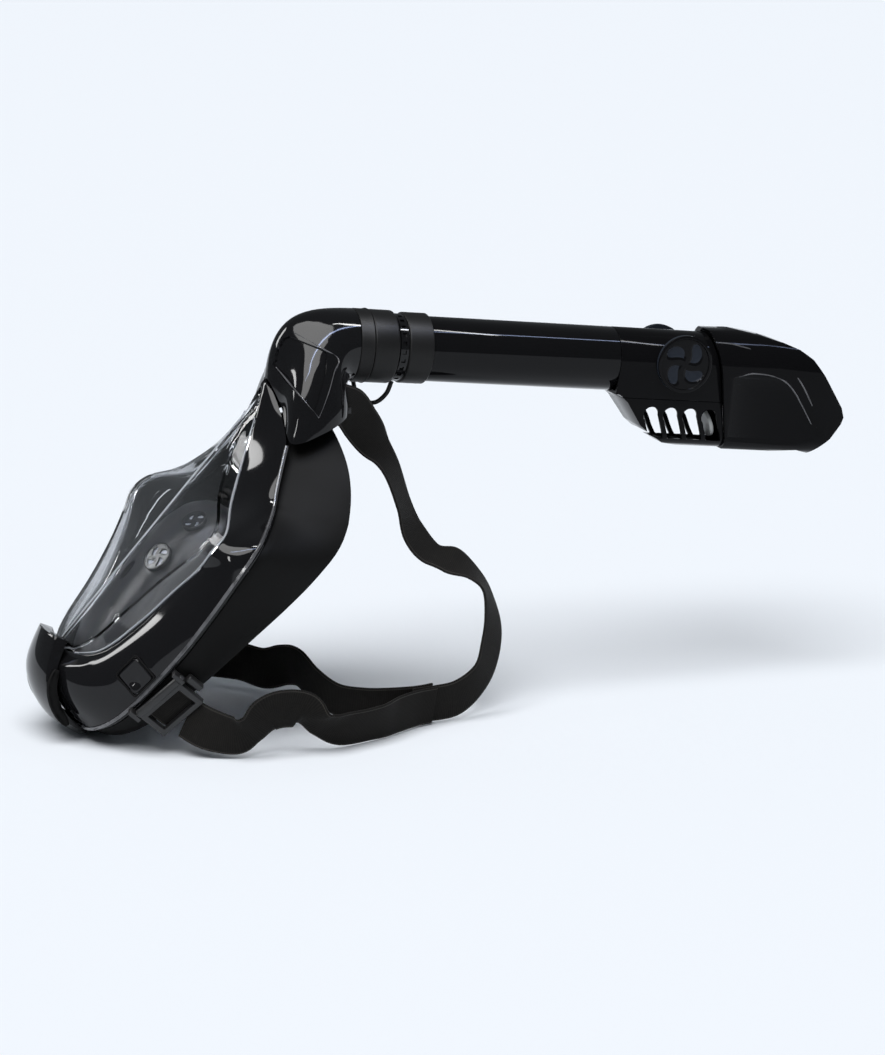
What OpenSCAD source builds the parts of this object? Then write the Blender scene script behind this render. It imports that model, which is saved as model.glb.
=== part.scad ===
/* [Mask] */
// Length of the visor along its ridge
visor_len = 192; // [170:1:215]
// Half width of the visor at its widest
visor_half_w = 83; // [74:1:92]
// Wall of the visor
visor_wall = 3; // [2:0.1:3.2]
// Wall of the frame
frame_wall = 3; // [2:0.1:3.5]
// Wall of the top hood
hood_wall = 3.2; // [2.5:0.1:3.2]
// Wall of the silicone skirt
skirt_wall = 2; // [1.5:0.1:2.5]
// Lean of the mask back from upright
mask_lean = 42; // [38:1:46]
// Height of the visor's foot above the floor
foot_height = 53.6; // [50:0.1:70]
// Distance of the visor's foot behind the origin
foot_back = 239.5; // [230:0.1:300]

/* [Nose pocket] */
// Half height of the nose pocket
pocket_half_h = 68; // [60:1:70]
// Half width of the nose pocket
pocket_half_w = 39; // [34:1:41]
// Radius of a check valve cage
cage_r = 9; // [7:0.1:9.5]

/* [Chin] */
// Half width of the drain valve cover
cover_half_w = 24; // [20:1:27]
// Side of a release button
button_side = 16; // [14:0.5:17]

/* [Straps] */
// Width of the webbing
webbing_w = 25; // [20:1:25]
// Thickness of the webbing
webbing_t = 1.6; // [1.2:0.1:2]
// Depth of a lower buckle
buckle_depth = 20; // [18:0.5:22]
// Radius of a buckle pin
pin_r = 1.5; // [1.2:0.1:1.7]

/* [Coupling] */
// Outer radius of the rubber rings and cuffs
cuff_r = 21.7; // [21:0.1:22.5]
// Outer radius of the neck socket
socket_r = 18.2; // [17.5:0.1:18.2]
// Bore radius of the neck socket
socket_bore_r = 15.6; // [14.8:0.1:16]
// Slope of the tube below level
tube_slope = 6.4; // [4:0.1:9]

/* [Snorkel] */
// Outer radius of the tube
tube_r = 19.3; // [18:0.1:20.5]
// Wall of the tube
tube_wall = 2; // [1.5:0.1:2.5]
// Where the dry top starts, from the neck
top_start = 166; // [130:1:200]
// Depth of the keel below the tube's axis
keel_depth = 51; // [48:0.5:54]
// Outer radius of an exhaust valve cover
badge_r = 17.4; // [15:0.1:18]
// Radius of the float
float_r = 8.5; // [7:0.1:9]

/* [Hidden] */
fit = 0.3;
e = 0.01;
round_fn = 64;
smooth_n = 4;

// ---- smooth closed loops in the mask's own frame: x back, y sideways, z up the ridge ----
hw = visor_half_w / 83;
hl = visor_len / 192;
function station(p) = [p[2], p[1] * hw, p[0] * hl];
// Each row is height up the ridge, half width and depth behind the ridge
edge_half = [[1, 0, -1], [4, 20, 5], [16, 36, 11], [42, 47, 14], [67, 60, 13], [86, 74, 11],
    [99, 83, 7], [112, 77, 9], [128, 44, 12], [152, 20, 10], [176, 10, 3], [192, 0, -3]];
crest_half = [[-8, 0, -9], [-8, 24, -4], [6, 44, 8], [38, 57, 15], [66, 69, 15], [88, 83, 12],
    [102, 90, 10], [116.4, 79, 13], [134.7, 43, 16.8], [157.3, 26, 11.2], [180.3, 13, 4.2], [195, 0, -4.5]];
belly_half = [[-28, 0, 8], [-26, 30, 12], [-6, 55, 20], [33, 71, 24], [64, 82, 22], [91, 93, 18],
    [112, 92, 17], [131, 67, 22], [147, 50, 21], [168.6, 34, 15.3], [186.5, 16, 5], [196.5, 0, -5.5]];
rear_half = [[-27, 0, 37], [-24, 32, 38], [-4, 56, 38], [36, 76, 34], [66, 88, 29], [92, 94, 25],
    [117, 92, 23.5], [137, 64, 28], [151.8, 51, 24.7], [173.5, 38, 18.5], [188.5, 18, 8], [197, 0, -3]];
seal_half = [[-25, 0, 41], [-22, 31, 42], [-4, 54, 42], [35, 74, 38], [65, 86, 33], [91, 92, 29],
    [116, 90, 27.5], [136, 62, 32], [149.7, 48, 29], [169.5, 34, 23.5], [182.3, 18, 19], [187, 0, 17]];
back_half = [[-20, 0, 57], [-16, 28, 57], [2, 50, 58], [34, 67, 60], [72, 76, 63], [100, 80, 66],
    [124, 79, 69], [148.2, 75, 70], [168.4, 66, 64], [186.4, 52, 52.6], [199.2, 27, 40.3], [204, 0, 35]];
hood_half = [[198.1, 0, -4.8], [189.9, 18.8, 8], [175.7, 40, 19], [192.2, 43, 29.7], [207.1, 34, 37.9],
    [215, 18, 41], [217, 0, 42]];

function mirrored(half) = let (n = len(half), r = [for (p = half) station(p)])
    concat(r, [for (i = [n - 2:-1:1]) [r[i][0], -r[i][1], r[i][2]]]);
function catmull(a, b, c, d, t) = 0.5 * (2 * b + (c - a) * t + (2 * a - 5 * b + 4 * c - d) * t * t
    + (3 * b - a - 3 * c + d) * t * t * t);
function closed_curve(p, n) = let (m = len(p)) [for (i = [0:m - 1], j = [0:n - 1])
    catmull(p[(i + m - 1) % m], p[i], p[(i + 1) % m], p[(i + 2) % m], j / n)];
function open_curve(p, n) = let (m = len(p) - 1) concat([for (i = [0:m - 1], j = [0:n - 1])
    catmull(p[max(i - 1, 0)], p[i], p[i + 1], p[min(i + 2, m)], j / n)], [p[m]]);
function unit(v) = v / norm(v);
// Outward direction of a closed loop, across the ridge's plane
function outward(loop) = let (m = len(loop)) [for (i = [0:m - 1])
    let (t = loop[(i + 1) % m] - loop[(i + m - 1) % m]) unit([0, t[2], -t[1]])];
function bezier(a, b, c, d, t) = pow(1 - t, 3) * a + 3 * pow(1 - t, 2) * t * b
    + 3 * (1 - t) * t * t * c + t * t * t * d;

edge = closed_curve(mirrored(edge_half), smooth_n);
crest = closed_curve(mirrored(crest_half), smooth_n);
belly = closed_curve(mirrored(belly_half), smooth_n);
rear = closed_curve(mirrored(rear_half), smooth_n);
seal = closed_curve(mirrored(seal_half), smooth_n);
back = closed_curve(mirrored(back_half), smooth_n);
edge_out = outward(edge);
belly_out = outward(belly);
seal_out = outward(seal);
back_out = outward(back);
loop_n = len(edge);
half_n = loop_n / 2;

// ---- solids from rows of points ----
// A ring of closed sections, joined end to end
module ring_solid(sections) {
    n = len(sections);
    m = len(sections[0]);
    polyhedron([for (s = sections) each s], [for (i = [0:n - 1], j = [0:m - 1])
        let (a = i * m + j, b = i * m + (j + 1) % m, k = ((i + 1) % n) * m)
        each [[a, k + j, b], [b, k + j, k + (j + 1) % m]]], convexity = 10);
}
// A row of closed sections with a flat cap at each end
module strip_solid(sections) {
    n = len(sections);
    m = len(sections[0]);
    polyhedron([for (s = sections) each s], concat([for (i = [0:n - 2], j = [0:m - 1])
        let (a = i * m + j, b = i * m + (j + 1) % m)
        each [[a, a + m, b], [b, a + m, b + m]]],
        [[for (j = [0:m - 1]) j]], [[for (j = [m - 1:-1:0]) (n - 1) * m + j]]), convexity = 10);
}

// ---- places ----
module in_mask() { translate([-foot_back, 0, foot_height]) rotate([0, mask_lean, 0]) children(); }
function from_mask(p) = [-foot_back + p[0] * cos(mask_lean) + p[2] * sin(mask_lean), p[1],
    foot_height - p[0] * sin(mask_lean) + p[2] * cos(mask_lean)];
neck = from_mask([23.4, 0, 245 * hl]);
module in_tube() { translate(neck) rotate([0, 90 + tube_slope, 0]) children(); }
tube_dir = [cos(tube_slope), 0, -sin(tube_slope)];
tube_up = [sin(tube_slope), 0, cos(tube_slope)];
module sided(side) { if (side > 0) mirror([0, 1, 0]) children(); else children(); }

// ---- mask ----
// The visor's face falls gently to a fold near its edge, then steeply down to the frame
fold_band = 6;
fold_depth = 0.3;
function fold_at(w) = max(1 - fold_band / w, 0.4);
function face_fall(v, f) = v <= f ? fold_depth * pow(v / f, 1.3) : fold_depth + (1 - fold_depth) * (v - f) / (1 - f);
function visor_steps(f) = [-1, -(1 + f) / 2, -f, -f * 0.72, -f * 0.36, 0, f * 0.36, f * 0.72, f, (1 + f) / 2, 1];
function visor_row(p, inset) = let (w = p[1] - inset, rise = min(max(p[2], 3), visor_len - 4), f = fold_at(w))
    [for (v = visor_steps(f)) [inset + p[0] * face_fall(abs(v), f), w * v, rise + (p[2] - rise) * abs(v)]];
function reversed(l) = [for (i = [len(l) - 1:-1:0]) l[i]];
module visor() {
    rows = [for (i = [1:half_n - 1]) edge[i]];
    color([0.75, 0.78, 0.8, 0.5]) in_mask()
        strip_solid([for (p = rows) concat(visor_row(p, 0), reversed(visor_row(p, visor_wall)))]);
}

lip = 4;
ledge_gap = 3.1;
frame_steps = [0, 0.25, 0.5, 0.75, 1];
function frame_section(i) = let (o = edge_out[i], q = belly_out[i], w = frame_wall,
    a = edge[i] + fit * o, back_step = visor_wall + ledge_gap)
    concat([for (t = frame_steps) bezier(a, crest[i], belly[i], rear[i], t)],
        [for (t = [1, 0.75, 0.5]) let (p = bezier(a, crest[i], belly[i], rear[i], t) - w * q)
            [t == 1 ? p[0] : min(max(p[0] + (t < 0.6 ? w * 0.6 : 0), a[0] + back_step + 2.5), rear[i][0] - 0.2), p[1], p[2]]],
        [a + [back_step + 2.5, 0, 0], a - lip * o + [back_step + 2.5, 0, 0],
            a - lip * o + [back_step, 0, 0], a + [back_step, 0, 0]]);
module visor_frame() {
    color([0.07, 0.07, 0.08]) difference() {
        in_mask() ring_solid([for (i = [0:loop_n - 1]) frame_section(i)]);
        for (side = [-1, 1]) at_button(side) translate([-button_side / 2 - fit, -20, -button_side / 2 - fit])
            cube([button_side + 2 * fit, 40, button_side + 2 * fit]);
    }
}

bead_r = 1.7;
module skirt_clamp_ring() {
    color([0.1, 0.1, 0.11]) in_mask() ring_solid([for (i = [0:loop_n - 1])
        [for (a = [0:60:300]) seal[i] - [bead_r + fit, 0, 0] + bead_r * (cos(a) * [1, 0, 0] + sin(a) * seal_out[i])]]);
}

lip_turn = 17;
function skirt_section(i) = let (w = skirt_wall, d = seal[i], c = back[i], m = (c + d) / 2 + 2 * seal_out[i])
    [d, m, c, c - lip_turn * back_out[i] + [-3, 0, 0], c - lip_turn * back_out[i] + [-3 - w, 0, 0],
        c - w * 1.4 * back_out[i] - [w, 0, 0], m - w * seal_out[i], d - w * seal_out[i]];
module skirt() {
    color([0.16, 0.16, 0.16]) in_mask() ring_solid([for (i = [0:loop_n - 1]) skirt_section(i)]);
}

// The hood bends from the mask's top to the neck
hood_base = [for (p = closed_curve([for (q = mirrored(hood_half)) q], smooth_n)) from_mask(p)];
hood_n = len(hood_base);
hood_steps = 8;
function hood_point(i, t, shrink) = let (turn = 360 * i / hood_n, front = (1 + cos(turn)) / 2,
    r = cuff_r - shrink, mouth = neck + r * (cos(turn) * tube_up + sin(turn) * [0, 1, 0]),
    base = hood_base[i], mid = from_mask([18, 0, 200 * hl]),
    inner = base + shrink * unit([mid[0] - base[0], mid[1] - base[1], 0]))
    bezier(inner, inner + (6 + 30 * front) * [0.12, 0, 1], mouth - (4 + 32 * front) * tube_dir, mouth, t);
function hood_section(i) = concat([for (k = [0:hood_steps]) hood_point(i, k / hood_steps, 0)],
    [for (k = [hood_steps:-1:0]) hood_point(i, k / hood_steps, hood_wall)]);
module top_hood() {
    color([0.06, 0.06, 0.07]) ring_solid([for (i = [0:hood_n - 1]) hood_section(i)]);
}

pocket_mid = [45, 0, 60];
pocket_room = 3.5;
pocket_depth = pocket_mid[0] - visor_wall - pocket_room;
pocket_wall = 1.8;
pocket_power = 3;
function boxed(v) = v / pow(pow(abs(v[0]), pocket_power) + pow(abs(v[1]), pocket_power)
    + pow(abs(v[2]), pocket_power), 1 / pocket_power);
function pocket_point(a, f, w) = let (v = boxed([-cos(f), sin(f) * sin(a), sin(f) * cos(a)]))
    pocket_mid + [v[0] * (pocket_depth - w), v[1] * (pocket_half_w - w), v[2] * (pocket_half_h - w)];
pocket_falls = [6, 14, 22, 30, 38, 46, 54, 63, 72, 81, 90];
module nose_pocket() {
    color([0.13, 0.13, 0.14]) in_mask() difference() {
        ring_solid([for (a = [0:10:350]) concat([for (f = pocket_falls) pocket_point(a, f, 0)],
            [for (f = reversed(pocket_falls)) pocket_point(a, f, pocket_wall)])]);
        for (side = [-1, 1], k = [0, 1]) sided(side) at_cage(k)
            cylinder(h = 30, r = cage_r * cage_size[k] - 2, center = true, $fn = 24);
    }
}
// Check valves stand on the pocket's slope; k is 0 for the lower one and 1 for the upper one
cage_up = [77, 106];
cage_out = [22, 20];
cage_size = [1, 0.8];
function cage_share(k) = let (y = cage_out[k] / pocket_half_w, z = (cage_up[k] - pocket_mid[2]) / pocket_half_h)
    [-pow(1 - pow(y, pocket_power) - pow(z, pocket_power), 1 / pocket_power), -y, z];
module at_cage(k) {
    v = cage_share(k);
    n = unit([-v[0] * v[0] / pocket_depth, -v[1] * v[1] / pocket_half_w, v[2] * v[2] / pocket_half_h]);
    translate(pocket_mid + [v[0] * pocket_depth, v[1] * pocket_half_w, v[2] * pocket_half_h])
        rotate([0, acos(n[2]), atan2(n[1], n[0])]) children();
}
cage_lift = 0;
module check_cage(side, k) {
    r = cage_r * cage_size[k];
    color([0.2, 0.2, 0.21]) in_mask() sided(side) at_cage(k) translate([0, 0, cage_lift]) difference() {
        cylinder(h = 2.4, r = r, $fn = round_fn);
        translate([0, 0, -e]) cylinder(h = 1.2, r = r - 1.4, $fn = round_fn);
        for (a = [0:90:270]) rotate(a) translate([r * 0.5, 0, -1]) cylinder(h = 5, r = r * 0.24, $fn = 24);
    }
}
module check_flap(side, k) {
    color([0.7, 0.72, 0.74]) in_mask() sided(side) at_cage(k) translate([0, 0, cage_lift + 0.2])
        cylinder(h = 0.7, r = cage_r * cage_size[k] - 1.7, $fn = round_fn);
}

// Chin cover, a bowl around the frame's lowest front; each row is a place along its middle line
cover_line = [[-14, 0, 3], [-9.5, 0, -10], [-3.5, 0, -21], [7, 0, -29.5], [21, 0, -34.5], [33, 0, -34.3], [43, 0, -33]];
cover_wall = 2.4;
cover_rise = 4.3;
cover_path = open_curve(cover_line, 2);
// The cover's sides and its upper end reach in to the frame
cover_reach = 7.9;
cover_taper = 0.5;
foot_cut = 1;
function cover_in(i, v) = i < 2 || abs(v) == 1 ? cover_reach - cover_taper * i : cover_wall;
function cover_row(i, inside) = let (m = len(cover_path) - 1, p = cover_path[i],
    t = cover_path[min(i + 1, m)] - cover_path[max(i - 1, 0)], n = unit([-t[2], 0, t[0]]),
    half = cover_half_w * (0.72 + 0.28 * sin(180 * i / m)))
    [for (v = [-1:0.25:1]) p + n * ((inside ? cover_in(i, v) : 0) + cover_rise * v * v) + [0, half * v, 0]];
module chin_cover() {
    color([0.09, 0.09, 0.1]) difference() {
        in_mask() strip_solid([for (i = [0:len(cover_path) - 1]) concat(cover_row(i, false), reversed(cover_row(i, true)))]);
        // A flat foot to stand on
        translate([-foot_back - 60, -50, foot_cut - 20]) cube([120, 100, 20]);
    }
}
module at_drain() { in_mask() translate([20, 0, -26]) rotate([0, 4, 0]) children(); }
module drain_valve_seat() {
    color([0.12, 0.12, 0.13]) at_drain() difference() {
        translate([0, 0, -2.2]) cylinder(h = 1.8, r = 10, $fn = round_fn);
        translate([0, 0, -3]) for (a = [0:90:270]) rotate(a) translate([5, 0, 0]) cylinder(h = 4, r = 2.6, $fn = 24);
    }
}
module drain_valve_flap() {
    color([0.7, 0.7, 0.72]) at_drain() translate([0, 0, -3]) cylinder(h = 0.6, r = 9, $fn = round_fn);
}

// Release buttons sit in the frame's chin sides
button_at = [27.6, -60.6, 17];
module at_button(side) {
    in_mask() sided(side) translate(button_at) rotate([0, 0, -34.4]) rotate([20.2, 0, 0]) rotate([0, 10.7, 0]) children();
}
module release_button(side) {
    color([0.1, 0.1, 0.11]) at_button(side) difference() {
        translate([-button_side / 2, -2.5, -button_side / 2]) cube([button_side, 3.5, button_side]);
        translate([0, -5.2, 0]) rotate([90, 0, 0]) translate([0, 0, -4]) cylinder(h = 2, r = 3, $fn = 32);
    }
}

// Lower buckles hang on pins at the frame's rear edge
buckle_w = 33;
buckle_t = 4;
bar = 3.6;
module at_buckle(side) { in_mask() sided(side) translate([42.5, -70.3, 15]) rotate([26, 0, 0]) children(); }
module buckle_base(side) {
    color([0.08, 0.08, 0.09]) at_buckle(side) difference() {
        for (z = [-1, 1]) translate([-5.5, -2.6, z * (buckle_w / 2 + fit + 1.3) - 1.3]) cube([8, 5.2, 2.6]);
        cylinder(h = 60, r = pin_r + 0.05, center = true, $fn = 32);
    }
}
module buckle_pin(side) {
    color([0.6, 0.6, 0.62]) at_buckle(side) cylinder(h = buckle_w + 6.4, r = pin_r, center = true, $fn = 32);
}
module lower_buckle(side) {
    color([0.1, 0.1, 0.1]) at_buckle(side) difference() {
        union() {
            translate([0, -buckle_t / 2, -buckle_w / 2]) cube([buckle_depth, buckle_t, buckle_w]);
            cylinder(h = buckle_w, r = 2.6, center = true, $fn = 32);
        }
        cylinder(h = 60, r = pin_r + 0.08, center = true, $fn = 32);
        translate([bar + 0.5, -5, -buckle_w / 2 + bar]) cube([buckle_depth - 2 * bar, 10, buckle_w - 2 * bar]);
    }
}

// ---- coupling, along the tube: z runs from the neck to the tip, x points down ----
ring_end = 8.6;
cuff_end = 24.4;
collar_end = 30.3;
tube_end = 46;
module tube_sleeve(a, b, outer, inner) {
    translate([0, 0, a]) difference() {
        cylinder(h = b - a, r = outer, $fn = round_fn);
        translate([0, 0, -1]) cylinder(h = b - a + 2, r = inner, $fn = round_fn);
    }
}
module neck_socket() { color([0.08, 0.08, 0.09]) in_tube() tube_sleeve(-5.4, 25, socket_r, socket_bore_r); }
module neck_ring() {
    color([0.2, 0.2, 0.2]) in_tube() rotate_extrude($fn = round_fn)
        polygon([[socket_r + 0.1, fit], [cuff_r - 0.3, fit], [cuff_r, 1], [cuff_r, 7], [cuff_r + 0.6, ring_end - 0.4],
            [cuff_r + 0.2, ring_end], [socket_r + 0.1, ring_end]]);
}
module socket_cuff() {
    color([0.2, 0.2, 0.2]) in_tube() rotate_extrude($fn = round_fn)
        polygon([[socket_r + 0.1, ring_end + fit], [cuff_r - 0.7, ring_end + fit], [cuff_r - 0.1, ring_end + 1],
            [cuff_r - 0.1, cuff_end - 0.8], [cuff_r - 0.8, cuff_end], [socket_r + 0.1, cuff_end]]);
}
plug_r = socket_bore_r - 0.3;
collar_r = tube_r + 0.6;
module plug() {
    color([0.07, 0.07, 0.08]) in_tube() difference() {
        union() {
            translate([0, 0, 7]) cylinder(h = 20, r = plug_r, $fn = round_fn);
            translate([0, 0, 25.3]) cylinder(h = collar_end - 25.3, r = collar_r, $fn = round_fn);
            translate([0, 0, 26]) cylinder(h = tube_end - 28, r = tube_r - tube_wall - 0.1, $fn = round_fn);
        }
        cylinder(h = 60, r = plug_r - 2.2, $fn = round_fn);
        translate([0, 0, 12]) difference() {
            translate([0, 0, -1]) cylinder(h = 2, r = plug_r + 1, $fn = round_fn);
            translate([0, 0, -2]) cylinder(h = 4, r = plug_r - 1.1, $fn = round_fn);
        }
        for (a = [0:15:345]) rotate(a) translate([collar_r - 1, -1.2, 26.3]) cube([3, 2.4, 2.6]);
    }
}
module plug_o_ring() {
    color([0.15, 0.15, 0.15]) in_tube() translate([0, 0, 12]) rotate_extrude($fn = round_fn)
        translate([plug_r - 0.45, 0]) circle(r = 0.6, $fn = 24);
}
module tube_cuff() {
    color([0.2, 0.2, 0.2]) in_tube() rotate_extrude($fn = round_fn)
        polygon([[tube_r + 0.1, collar_end + fit], [tube_r + 1, collar_end + fit], [tube_r + 1.7, collar_end + 1],
            [tube_r + 1.7, tube_end - 0.6], [tube_r + 1.2, tube_end], [tube_r + 0.1, tube_end]]);
}
// The tether hangs below the joint from ring to collar; each row is depth below the axis and place along it
tether_r = 0.8;
tether_route = [[22.9, 5], [28, 7], [33, 13], [33.5, 20], [28, 26], [21, 28.5]];
module tether() {
    path = open_curve([for (p = tether_route) [p[0], 0, p[1]]], 4);
    m = len(path) - 1;
    color([0.12, 0.12, 0.12]) in_tube() strip_solid([for (i = [0:m])
        let (t = unit(path[min(i + 1, m)] - path[max(i - 1, 0)]), n = [t[2], 0, -t[0]])
        [for (a = [0:45:315]) path[i] + tether_r * (cos(a) * n + sin(a) * [0, -1, 0])]]);
}

// ---- snorkel ----
module snorkel_tube() { color([0.05, 0.05, 0.06]) in_tube() tube_sleeve(collar_end + fit, top_start, tube_r, tube_r - tube_wall); }
wall_t = 1.2;
channel_half = 9;
module channel_walls() {
    color([0.1, 0.1, 0.1]) in_tube() intersection() {
        translate([0, 0, tube_end]) cylinder(h = top_start + 40 - tube_end, r = tube_r - tube_wall - 0.1, $fn = round_fn);
        for (s = [-1, 1]) translate([-30, s * channel_half - wall_t / 2, 0]) cube([60, wall_t, 400]);
    }
}
seam_lean = 0.254;
cap_start = 231.3 - 166 + top_start;
function seam(d) = cap_start + seam_lean * d;
// Outer side view of the dry top as depth below the axis and place along the tube
t0 = top_start - 166;
module side_shape(pts, half) { rotate([90, 0, 0]) linear_extrude(height = 2 * half, center = true) polygon(pts); }
module drop_section(r1, r2, depth) {
    lean = asin((r1 - r2) / depth);
    circle(r = r1, $fn = round_fn);
    translate([depth, 0]) circle(r = r2, $fn = round_fn);
    polygon([for (q = [[r1, 0, -1], [r2, depth, -1], [r2, depth, 1], [r1, 0, 1]])
        [q[1] + q[0] * sin(lean), q[2] * q[0] * cos(lean)]]);
}
top_wall = 2;
keel_r = 13;
module dry_body(inset) {
    kd = keel_depth - inset;
    intersection() {
        side_shape([[-tube_r + inset, top_start + fit - (inset > 0 ? 5 : 0)], [-tube_r + inset, seam(-tube_r) + (inset > 0 ? 9 : 0)],
            [kd, seam(keel_depth) + (inset > 0 ? 9 : 0)], [kd, t0 + 218], [kd - 2, t0 + 204 + inset / 2], [kd - 8, t0 + 193 + inset],
            [kd - 13, t0 + 186 + inset], [24 - inset, t0 + 175 + inset], [tube_r - inset, t0 + 169 + inset],
            [tube_r - inset, top_start + fit - (inset > 0 ? 5 : 0)]], 30);
        linear_extrude(height = 400) drop_section(tube_r - inset, keel_r - inset, keel_depth - keel_r);
    }
}
grille_top = 21.3;
badge_at = t0 + 206.6;
badge_rise = 2;
badge_seat_r = badge_r - 3;
badge_seat_foot = 5;
badge_seat_rise = 0.2;
exhaust_bore_r = badge_r - 6;
module dry_top_housing() {
    color([0.05, 0.05, 0.06]) in_tube() difference() {
        union() {
            intersection() {
                dry_body(0);
                translate([-40, -40, 0]) cube([40 + grille_top - fit, 80, 400]);
            }
            for (s = [-1, 1]) translate([-badge_rise, 0, badge_at]) rotate([s * 90, 0, 0]) translate([0, 0, badge_seat_foot])
                cylinder(h = tube_r + badge_seat_rise - badge_seat_foot, r = badge_seat_r, $fn = round_fn);
        }
        dry_body(top_wall);
        for (s = [-1, 1]) translate([-badge_rise, 0, badge_at]) rotate([s * 90, 0, 0]) cylinder(h = 40, r = exhaust_bore_r, $fn = round_fn);
    }
}
slot_first = t0 + 185;
slot_pitch = 12.8;
slot_half = 4.9;
slot_lean = 0.42;
slot_arch = 31;
slot_middle = 38;
slot_foot = 46;
function slot_at(d) = seam_lean * slot_middle + slot_lean * (d - slot_middle);
module intake_grille() {
    color([0.06, 0.06, 0.07]) in_tube() difference() {
        intersection() {
            dry_body(0);
            translate([grille_top, -40, 0]) cube([80, 80, 400]);
        }
        dry_body(top_wall);
        for (k = [0:3]) translate([0, 0, slot_first + k * slot_pitch]) rotate([90, 0, 0])
            linear_extrude(height = 80, center = true) {
                translate([slot_arch, slot_at(slot_arch)]) circle(r = slot_half, $fn = 32);
                polygon([[slot_arch, slot_at(slot_arch) - slot_half], [slot_foot, slot_at(slot_foot) - slot_half],
                    [slot_foot, slot_at(slot_foot) + slot_half], [slot_arch, slot_at(slot_arch) + slot_half]]);
            }
    }
}
cap_outer = [[-22, 237.5], [-22.9, 242], [-19.9, 260.6], [-17.2, 274], [-13.9, 284], [-8.6, 292.5], [0.3, 300.3],
    [10, 308], [20.7, 316.6], [26.7, 319.2], [31, 318.5], [41, 313.4], [51.8, 303], [49.8, 294], [51.4, 277]];
cap_inner = [[-17, 220], [-20.7, 242], [-17.8, 260], [-15.2, 273], [-12, 282.8], [-7, 290.5], [1.7, 298.2],
    [11.3, 305.8], [21.5, 314], [26.7, 316.8], [30.4, 316.2], [39.2, 311.7], [49, 301.8], [47.6, 294], [48.9, 277],
    [48.9, 220]];
cap_wide = 21.2;
module top_cap() {
    color([0.07, 0.07, 0.08]) in_tube() difference() {
        intersection() {
            side_shape(concat([[-21.5, seam(-21.5) + fit]], [for (p = cap_outer) [p[0], p[1] + t0]],
                [[keel_depth + 0.4, seam(keel_depth) + fit]]), 30);
            linear_extrude(height = 400) drop_section(cap_wide + 1.7, keel_r + 1.7, keel_depth - keel_r);
        }
        difference() {
            intersection() {
                side_shape([for (p = cap_inner) [p[0], p[1] + t0]], 30);
                linear_extrude(height = 400) drop_section(cap_wide - 0.4, keel_r - 0.4, keel_depth - keel_r);
            }
            translate([float_drop, 0, t0 + 292]) cylinder(h = 40, r = 4, $fn = 32);
        }
        translate([float_drop, 0, t0 + 280]) cylinder(h = 24, r = 1.55, $fn = 32);
    }
}
float_drop = 34;
module float_guide() { color([0.3, 0.3, 0.3]) in_tube() translate([float_drop, 0, t0 + 243]) cylinder(h = 60.6, r = 1.5, $fn = 32); }
module float() {
    color([0.75, 0.76, 0.75]) in_tube() translate([float_drop, 0, t0 + 250]) difference() {
        union() {
            cylinder(h = 26, r = float_r, $fn = round_fn);
            translate([0, 0, -2]) cylinder(h = 2.5, r = float_r + 1.2, $fn = round_fn);
        }
        translate([0, 0, -5]) cylinder(h = 40, r = 1.9, $fn = 32);
    }
}
badge_thick = 3.4;
badge_rim = 2.2;
badge_rim_depth = 1;
badge_pocket = 1.4;
module on_badge() { translate([-badge_rise, -tube_r - fit, badge_at]) rotate([90, 0, 0]) children(); }
module exhaust_cover(side) {
    color([0.06, 0.06, 0.06]) in_tube() sided(side) on_badge() difference() {
        cylinder(h = badge_thick, r = badge_r, $fn = round_fn);
        translate([0, 0, badge_thick - badge_rim_depth]) cylinder(h = 3, r = badge_r - badge_rim, $fn = round_fn);
        translate([0, 0, -1]) cylinder(h = 1 + badge_pocket, r = badge_r - 4.5, $fn = round_fn);
        for (a = [45:90:315]) rotate(a) translate([badge_r * 0.43, 0, -1]) cylinder(h = 6, r = badge_r * 0.17, $fn = 24);
    }
}
module exhaust_flap(side) {
    color([0.6, 0.62, 0.62]) in_tube() sided(side) on_badge() translate([0, 0, 0.1]) cylinder(h = 0.8, r = badge_r - 5, $fn = round_fn);
}

// ---- harness: each row is a middle point and a half-width direction ----
function webbing_rows(rows) = let (c = open_curve([for (r = rows) r[0]], 3), h = open_curve([for (r = rows) r[1]], 3),
    m = len(c) - 1) [for (i = [0:m]) let (t = c[min(i + 1, m)] - c[max(i - 1, 0)], w = unit(h[i]) * webbing_w / 2,
    n = unit(cross(t, w)) * webbing_t / 2) [c[i] - w - n, c[i] - w + n, c[i] + w + n, c[i] + w - n]];
upper_route = [[[-64, 0, 181], [1, 12, 0]], [[-60, 0, 178], [4, 12, 1]], [[-53, 0, 172], [9, 8, 0]],
    [[-42, 0, 159], [11, 6, -1]], [[-33, -2, 144], [8, 9, 0]], [[-26, -4, 122], [8, 10, -1]], [[-21, -8, 105], [9, 8, 1]],
    [[-12, -12, 93], [10, 8, 1]], [[-1, -18, 89], [9, 8, 4]], [[10, -24, 82], [7, 10, 0]], [[17, -30, 72], [6, 11, -2]],
    [[18, -38, 56], [8, 9, -3]], [[14, -45, 41], [9, 8, -5]], [[6, -51, 26], [7, 7, -8]], [[-10, -55, 15], [4, 4, -11]],
    [[-28, -58, 13.4], [1, 4, -12]], [[-42, -60, 13.4], [1, 4, -12]]];
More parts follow.
